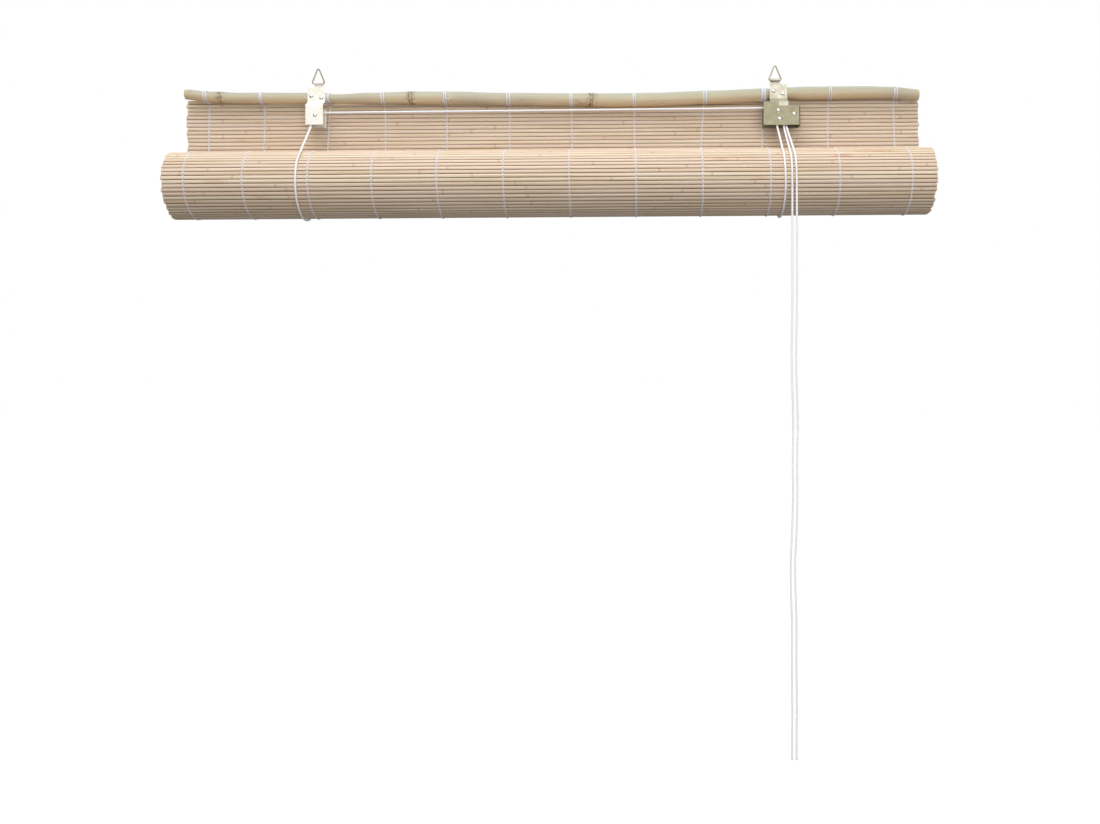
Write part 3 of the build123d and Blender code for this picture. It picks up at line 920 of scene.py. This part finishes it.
# --- mat
@dataclass
class Mat:
    """The mat of splints: its hanging part and its roll, with the twines that bind them."""

    cane: Cane
    thickness: float = 0.0016
    width: float = 0.0052
    edge: float = 0.00078
    pitch: float = 0.00525
    hanging: int = 24
    radius: float = 0.0439
    turn_pitch: float = 0.0039
    half_turns: int = 17
    strand: float = 0.0006
    spread: float = 0.0007
    loop_strand: float = 0.00042
    loop_gap: float = 0.0011
    twined_turns: int = 2
    warps: int = 12
    wide_loops: tuple[int, ...] = (3, 10)
    loop_turns: int = 4
    wide_loop_turns: int = 6
    loop_steps: int = 40
    loop_play: float = 0.0001
    arc_steps: int = 32
    slip: float = 0.00012
    loop_front: float = 0.006
    foot_band: float = 0.0004
    stagger: float = 0.0011
    hang_wander: float = 0.0003
    roll_wander: float = 0.0005
    outer: int = 56
    roll_y: float = field(init=False)
    roll_z: float = field(init=False)
    mat_y: float = field(init=False)
    middle_x: float = field(init=False)
    length: float = field(init=False)

    def __post_init__(self) -> None:
        """Take the places from the frame."""
        low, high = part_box("mat_roll")
        self.mat_y = high.y - self.thickness / 2
        self.roll_y = self.mat_y - self.radius
        self.roll_z = low.z + self.thickness / 2 + self.radius
        self.middle_x = (low.x + high.x) / 2
        self.length = high.x - low.x

    @property
    def top_z(self) -> float:
        """Height of the hanging part's upper end."""
        return self.roll_z + self.hanging * self.pitch

    def at(self, run: float) -> Vector:
        """The mat's middle line at a distance from its upper end.

        Args:
            run: Distance along the mat, first down the hanging part and then round the roll.

        Returns:
            The point, with x at nought.
        """
        drop = self.hanging * self.pitch
        if run <= drop:
            return Vector((0, self.mat_y, self.top_z - run))
        run -= drop
        for turn in range(self.half_turns):
            radius = self.radius - turn * self.turn_pitch / 2
            if run <= math.pi * radius or turn == self.half_turns - 1:
                angle = -run / radius - math.pi * (turn % 2)
                centre_y = self.roll_y - (turn % 2) * self.turn_pitch / 2
                return Vector(
                    (0, centre_y + radius * math.cos(angle), self.roll_z + radius * math.sin(angle))
                )
            run -= math.pi * radius
        raise ValueError("past the end of the mat")

    @property
    def roll_length(self) -> float:
        """Length of mat in the roll."""
        return sum(
            math.pi * (self.radius - turn * self.turn_pitch / 2) for turn in range(self.half_turns)
        )

    def path(self, start: float, end: float, steps: int) -> list[Vector]:
        """Points along the mat from start to end, in the mat's middle plane."""
        spread = (start + (end - start) * i / steps for i in range(steps + 1))
        return [self.at(run) + Vector((self.middle_x, 0, 0)) for run in spread]

    def lay_splints(self) -> None:
        """Lay the hanging splints and those of the roll."""
        tree = slat_tree()
        common = {
            "Width": self.width, "Thickness": self.thickness, "Edge": self.edge,
            "Length": self.length, "Stagger": self.stagger,
        }
        end = self.hanging * self.pitch
        first = self.pitch / 2
        hung = tree.run(
            self.path(first, end - self.pitch / 2, 2), Look.SPLINT,
            Count=self.hanging, Cells=90, Wander=self.hang_wander, Seed=11, **common,
        )
        splints = piece("hanging_splints", hung, Look.SPLINT)
        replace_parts(splints, *(f"splint_{i:02d}" for i in range(1, self.hanging + 1)))
        inner = int((self.roll_length - self.pitch) / self.pitch) - self.outer
        for name, skipped, number, cells, seed in (
            ("rolled_splints_outer", 0, self.outer, 72, 23),
            ("rolled_splints_inner", self.outer, inner, 16, 37),
        ):
            start = end + first + skipped * self.pitch
            rolled = tree.run(
                self.path(start, start + (number - 1) * self.pitch, number * 6), Look.SPLINT,
                Count=number, Cells=cells, Wander=self.roll_wander, Seed=seed, **common,
            )
            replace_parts(piece(name, rolled, Look.SPLINT), "mat_roll")

    def warp_places(self, number: int) -> tuple[float, float]:
        """Where a warp loops the cane and where it meets the roll.

        Args:
            number: The warp's number, from 1.

        Returns:
            x on the cane and x at the roll.
        """
        points = [v.co for v in bpy.data.objects[f"warp_thread_{number:02d}"].data.vertices]
        low = min(p.z for p in points)
        loop = [p.x for p in points if p.y < self.mat_y - self.loop_front]
        foot = [p.x for p in points if p.z < low + self.foot_band]
        return (max(loop) + min(loop)) / 2, (max(foot) + min(foot)) / 2

    def belt(self, x: float, reach: float, steps: int) -> list[Vector]:
        """A closed line round the cane and the top splint, like a belt round two pulleys.

        Args:
            x: Where it goes round.
            reach: How far it stands off the cane.
            steps: Number of points.

        Returns:
            The points, evenly spread.
        """
        y, z, radius = self.cane.at(x)
        first = Vector((0, y, z))
        second = Vector((0, self.mat_y, self.top_z - self.pitch / 2))
        big, small = radius + reach, self.thickness / 2 + reach + 0.0003
        away = second - first
        aim = math.atan2(away.z, away.y)
        lean = math.acos((big - small) / away.length)
        outline = []
        for centre, size, start, sweep in (
            (first, big, aim + lean, math.tau - 2 * lean),
            (second, small, aim - lean, 2 * lean),
        ):
            for i in range(self.arc_steps + 1):
                angle = start + sweep * i / self.arc_steps
                outline.append(centre + Vector((0, math.cos(angle), math.sin(angle))) * size)
        outline.append(outline[0])
        sides = ((b - a).length for a, b in zip(outline, outline[1:]))
        runs = list(accumulate(sides, initial=0.0))
        points = []
        for i in range(steps):
            goal = runs[-1] * i / steps
            part = max(bisect_left(runs, goal) - 1, 0)
            share = (goal - runs[part]) / (runs[part + 1] - runs[part])
            points.append(outline[part].lerp(outline[part + 1], share))
        return points

    def tie_loop(self, number: int, x: float) -> Callable:
        """Make a builder of the twine wound round the cane and the top splint.

        Args:
            number: The warp's number.
            x: Where it is wound.

        Returns:
            A builder for mesh_of.
        """
        turns = self.wide_loop_turns if number in self.wide_loops else self.loop_turns
        steps = self.loop_steps
        belt = self.belt(x, self.loop_strand + self.loop_play, steps)
        spread = 2.02 * self.loop_strand
        apart = self.loop_gap * (1.1 + 0.5 * math.sin(number * 2.3))
        points = []
        for i in range(turns * steps + 1):
            shift = (i / steps - turns / 2) * spread
            shift += apart / 2 * max(-1.0, min(1.0, (i / steps - turns / 2) * 5))
            slip = self.slip * noise.noise(Vector((number * 9.1, i * 0.2, 0.5)))
            points.append(belt[i % steps] + Vector((x + shift + slip, 0, 0)))
        return tube(points, [self.loop_strand] * len(points), 6)

    def twine(self) -> None:
        """Twine every warp through the hanging splints and the roll, and tie it to the cane."""
        tree = twine_tree()
        depth = self.thickness / 2 + self.strand * 0.9
        sizes = {"Pitch": self.pitch, "Depth": depth, "Side": self.spread, "Strand": self.strand}
        end = self.hanging * self.pitch
        rolled = bmesh.new()
        around = int(math.tau * self.radius * self.twined_turns / self.pitch)
        for number in range(1, self.warps + 1):
            top_x, foot_x = self.warp_places(number)
            slant = (foot_x - top_x) / self.hanging
            lean = [
                self.at(end * i / self.hanging) + Vector((top_x + slant * i, 0, 0))
                for i in range(self.hanging + 1)
            ]
            hung = tree.run(lean, Look.TWINE, Steps=self.hanging * 8 + 1, **sizes)
            work = bmesh.new()
            work.from_mesh(hung)
            self.tie_loop(number, top_x)(work)
            work.to_mesh(hung)
            work.free()
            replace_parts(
                piece(f"warp_twine_{number:02d}", hung, Look.TWINE), f"warp_thread_{number:02d}"
            )
            line = [
                self.at(end + around * self.pitch * i / (around * 4)) + Vector((foot_x, 0, 0))
                for i in range(around * 4 + 1)
            ]
            rolled.from_mesh(tree.run(line, Look.TWINE, Steps=around * 6 + 1, **sizes))
        mesh = bpy.data.meshes.new("rolled_twine")
        rolled.to_mesh(mesh)
        rolled.free()
        piece("rolled_twine", mesh, Look.TWINE)
        self.loose_tail()

    def loose_tail(self) -> None:
        """Leave a short curled tail of twine at the fifth loop."""
        x = self.warp_places(5)[0]
        y, z, radius = self.cane.at(x)
        front = y - radius - 0.0012
        knots = (
            (0.001, 0.0004, -0.002), (0.0024, -0.0006, -0.0044), (0.0054, -0.001, -0.005),
            (0.0078, -0.0008, -0.0026), (0.0072, -0.0004, 0.0004), (0.0052, -0.0006, 0.0002),
        )
        points = [Vector((x + a, front + b, z + c)) for a, b, c in knots]
        spline = spline_points("twine_tail", points)
        mesh = mesh_of("twine_tail", tube(spline, [self.strand * 0.7] * len(spline), 6))
        piece("twine_tail", mesh, Look.TWINE)


# --- cords
def spline_points(name: str, route: Sequence[Vector | Place]) -> list[Vector]:
    """Read the points of a smooth NURBS spline drawn with a route's points.

    Args:
        name: A name for the curve.
        route: The control points.

    Returns:
        The spline's own points.
    """
    curve = bpy.data.curves.new(name, "CURVE")
    curve.dimensions = "3D"
    curve.resolution_u = 12
    spline = curve.splines.new("NURBS")
    spline.points.add(len(route) - 1)
    for control, point in zip(spline.points, route):
        control.co = (*point, 1)
    spline.order_u = 3
    spline.use_endpoint_u = True
    line = bake(stand(name, curve))
    points = [vertex.co.copy() for vertex in line.vertices]
    bpy.data.meshes.remove(line)
    return points


def metres(route: Route) -> Route:
    """Turn a route in millimetres into metres."""
    return tuple(tuple(round(value / 1000, 7) for value in point) for point in route)


@dataclass
class Cord:
    """A braided cord along its route; a free one ends in a tapered cut end."""

    node: str
    route: Route
    free: bool = False
    radius: float = 0.0013
    sides: int = 12
    cut_end: tuple[tuple[float, float], ...] = ((0.0012, 1.0), (0.0003, 0.9), (0.0, 0.6))

    def build(self) -> None:
        """Build the cord as a piece that stands for its solid."""
        line = spline_points(self.node, self.route)
        radii = [self.radius] * len(line)
        if self.free:
            end = line[-1]
            back = (line[-2] - end).normalized()
            line[-1:] = [end + back * away for away, _ in self.cut_end]
            radii[-1:] = [self.radius * share for _, share in self.cut_end]
        mesh = mesh_of(self.node, tube(line, radii, self.sides))
        cord = piece(f"{self.node}_braid", mesh, Look.CORD)
        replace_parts(cord, self.node)
        length = sum((b - a).length for a, b in zip(line, line[1:]))
        LOG.info("%s is %.4f m long", self.node, length)
        if self.free:
            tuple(self.route[0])


@dataclass
class Cords:
    """The two lift cords and the two pull cords, their places in millimetres."""

    left_lift: Route = (
        (-322, 11.5, -26.4), (-322, 18, -28.6), (-322, 24.3, -34.6), (-322, 23.9, -43.7),
        (-322.3, 23.8, -141), (-322.3, 23.75, -179.5), (-322.8, -3.4, -206.7),
        (-323.4, -41.9, -206.7), (-322.6, -69.1, -179.5), (-321.6, -69.1, -142),
        (-320.6, -42.8, -115.3), (-319.2, -6.6, -78.6), (-318.2, -0.9, -68.6),
        (-318.2, -0.6, -58.2), (-302.6, -0.6, -58.1), (301.5, 1.6, -55.4), (317, 1.7, -55.3),
        (318.4, 1.2, -70), (320.8, -4.2, -78), (321.4, -5.4, -81.6),
    )
    right_lift: Route = (
        (309, 12.5, -24.1), (309, 18.6, -26.4), (309, 24.3, -33.6), (309, 23.9, -43),
        (309.2, 23.8, -141), (309.3, 23.75, -179.5), (309.8, -3.4, -206.7), (310.6, -41.9, -206.7),
        (310.9, -69.1, -179.5), (309.6, -69.1, -140.7), (309.4, -40.5, -114.4),
        (309.2, -6.6, -83.2), (307.4, -3.4, -74), (304, -2.8, -64.8), (304, -2.7, -55.3),
        (317, -2.7, -55.3), (317, -2.8, -70), (317.8, -4.2, -78), (318, -5.4, -81.6),
    )
    # Both pull cords: x of the left one, x of the right one, then the y and z that they share.
    pulls: tuple[tuple[float, float, float, float], ...] = (
        (321.4, 318, -5.4, -81.6), (322, 318.2, -6.6, -85.2), (323.6, 318.5, -46.9, -120.4),
        (324.2, 318.6, -61.4, -133.1), (324.5, 318.8, -69.4, -150.7), (324.5, 318.7, -69.4, -186),
        (324.2, 318.3, -69.3, -236), (323.8, 318.1, -69.4, -292), (323.4, 317.6, -69.2, -346),
        (321.8, 316, -69.3, -392), (322.6, 316.9, -69.4, -436), (323.9, 318.1, -69.2, -482),
        (322.4, 316.6, -69.3, -528), (322.7, 317, -69.4, -575), (321.2, 315.4, -69.3, -622),
        (318.9, 313.2, -69.4, -658), (319, 313.2, -69.3, -694), (320.4, 314.6, -69.2, -740),
        (319.6, 313.9, -69.3, -790), (319.9, 314.1, -69.4, -842), (319.3, 313.6, -69.3, -884),
        (319, 313.4, -69.3, -916),
    )

    def build(self) -> None:
        """Build all four."""
        Cord("left_lift_cord", metres(self.left_lift)).build()
        Cord("right_lift_cord", metres(self.right_lift)).build()
        for side, name in enumerate(("left_pull_cord", "right_pull_cord")):
            route = tuple((row[side], *row[2:]) for row in self.pulls)
            Cord(name, metres(route), free=True).build()


# --- fittings
@dataclass
class Fittings:
    """The brackets, rings, rivets, screws, pulleys and cam."""

    round_over: float = 0.00022
    crease: float = math.radians(32)
    plates: tuple[tuple[str, Look], ...] = (
        ("left_bracket", Look.PALE_PLATE),
        ("right_strap", Look.DARKER_PLATE),
        ("lock_housing", Look.KHAKI_PLATE),
    )
    parts: tuple[tuple[str, Look], ...] = (
        ("left_ring", Look.WIRE), ("right_ring", Look.WIRE), ("lower_roller", Look.WIRE),
        ("left_pulley_rivet", Look.STEEL), ("upper_pulley_rivet", Look.STEEL),
        ("lower_roller_rivet", Look.STEEL), ("cam_rivet", Look.STEEL),
        ("left_screws", Look.STEEL), ("right_screws", Look.STEEL),
        ("left_pulley", Look.NYLON), ("upper_pulley", Look.NYLON), ("lock_cam", Look.BRASS),
    )

    def fold_plate(self, node: str, look: Look) -> None:
        """Make a plate again with the rounded edges that plating leaves.

        Args:
            node: The plate's solid, which the piece stands for.
            look: Its finish.
        """
        source = bpy.data.objects[node].data

        def build(work: bmesh.types.BMesh) -> None:
            """Weld the solid's triangles into clean faces."""
            work.from_mesh(source)
            bmesh.ops.remove_doubles(work, verts=work.verts, dist=2e-6)
            bmesh.ops.dissolve_limit(
                work, angle_limit=math.radians(1.0), verts=work.verts, edges=work.edges
            )

        plate = piece(f"{node}_plate", mesh_of(node, build), look)
        bevel = plate.modifiers.new("rounded_edges", "BEVEL")
        bevel.width = self.round_over
        bevel.segments = 2
        bevel.limit_method = "ANGLE"
        bevel.angle_limit = self.crease
        flat = plate.modifiers.new("flat_faces", "WEIGHTED_NORMAL")
        flat.mode = "FACE_AREA"
        flat.weight = 100
        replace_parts(plate, node)

    def build(self) -> None:
        """Dress every fitting."""
        for node, look in self.plates:
            self.fold_plate(node, look)
        for node, look in self.parts:
            thing = bpy.data.objects[node]
            for holder in thing.material_slots:
                holder.material = look.material()
            LOG.info("%s: dressed as %s", node, look.value.name)


# --- studio
@dataclass
class Studio:
    """A pale floor, soft light and the camera."""

    floor_z: float = -1.0
    floor_size: float = 60.0
    lens: float = 35.247
    camera_place: Place = (0.0958, -1.4574, -0.4657)
    camera_roll: float = math.radians(0.4)
    camera_shift: float = -0.0645
    backdrop: Colour = (1.0, 1.0, 1.0)
    room_light: float = 0.66
    under_light: float = 0.27
    aim: Place = (0.0, 0.0, -0.12)
    lamps: tuple[tuple[str, Place, float, float], ...] = (
        ("key", (-0.5, -1.3, 1.7), 1.4, 24), ("top", (0.3, 0.1, 1.6), 1.8, 12),
        ("front", (0.5, -2.6, 0.1), 2.0, 32), ("back", (-0.8, 2.4, 1.0), 2.0, 14),
    )

    def lamp(self, name: str, place: Place, size: float, power: float) -> None:
        """Hang a square soft lamp that looks at the blind.

        Args:
            name: The lamp's name.
            place: Where it hangs.
            size: Its side.
            power: Its power in watts.
        """
        light = bpy.data.lights.new(name, "AREA")
        light.size = size
        light.energy = power
        holder = stand(name, light)
        holder.location = place
        aim = Vector(self.aim) - Vector(place)
        holder.rotation_euler = aim.to_track_quat("-Z", "Y").to_euler()

    def build(self) -> None:
        """Lay the floor, light the room and set up the camera."""
        scene = bpy.context.scene
        half = self.floor_size / 2
        floor = bpy.data.meshes.new("floor")
        square = ((-half, -half), (half, -half), (half, half), (-half, half))
        corners = [(x, y, self.floor_z) for x, y in square]
        floor.from_pydata(corners, [], [(0, 1, 2, 3)])
        floor.materials.append(Look.FLOOR.material())
        ground = stand("floor", floor)
        ground.visible_diffuse = False
        ground.visible_glossy = False

        world = bpy.data.worlds.new("room")
        world.use_nodes = True
        scene.world = world
        desk = NodeDesk(world.node_tree)
        world.node_tree.nodes.clear()
        seen = desk.add("ShaderNodeLightPath", out="Is Camera Ray")
        up = desk.axis(desk.add("ShaderNodeTexCoord", out="Generated"), 2)
        lit = self.under_light + up.ease(-0.5, 0.7) * (self.room_light - self.under_light)
        room = desk.add(
            "ShaderNodeBackground", None,
            {"Color": (*self.backdrop, 1), "Strength": lit.larger(seen)},
        )
        desk.end("ShaderNodeOutputWorld", "Surface", room)

        for lamp in self.lamps:
            self.lamp(*lamp)

        lens = bpy.data.cameras.new("camera")
        lens.lens = self.lens
        lens.sensor_width = 36.0
        lens.shift_x = self.camera_shift
        lens.clip_end = 200
        camera = stand("camera", lens)
        camera.location = self.camera_place
        camera.rotation_euler = (math.pi / 2, self.camera_roll, 0)
        scene.camera = camera
        scene.view_settings.view_transform = "Standard"


def main() -> None:
    """Build the blind's looks over its frame and report each piece."""
    logging.basicConfig(level=logging.INFO, format="%(name)s: %(message)s")
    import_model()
    Studio().build()
    Cords().build()
    cane = Cane(
        "top_pole",
        (Joint(-0.446, 0.8), Joint(-0.186, 1.0), Joint(0.059, 1.1, crack=True), Joint(0.309, 0.8)),
    )
    cane.build()
    mat = Mat(cane)
    mat.lay_splints()
    mat.twine()
    low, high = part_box("bottom_pole")
    middle = ((low.y + high.y) / 2, (low.z + high.z) / 2, (high.z - low.z) / 2)
    Cane(
        "bottom_pole", (Joint(-0.31, 0.7), Joint(-0.02, 0.8), Joint(0.27, 0.7)),
        ((low.x, *middle), (high.x, *middle)),
    ).build()
    Fittings().build()


if __name__ == "__main__":
    main()
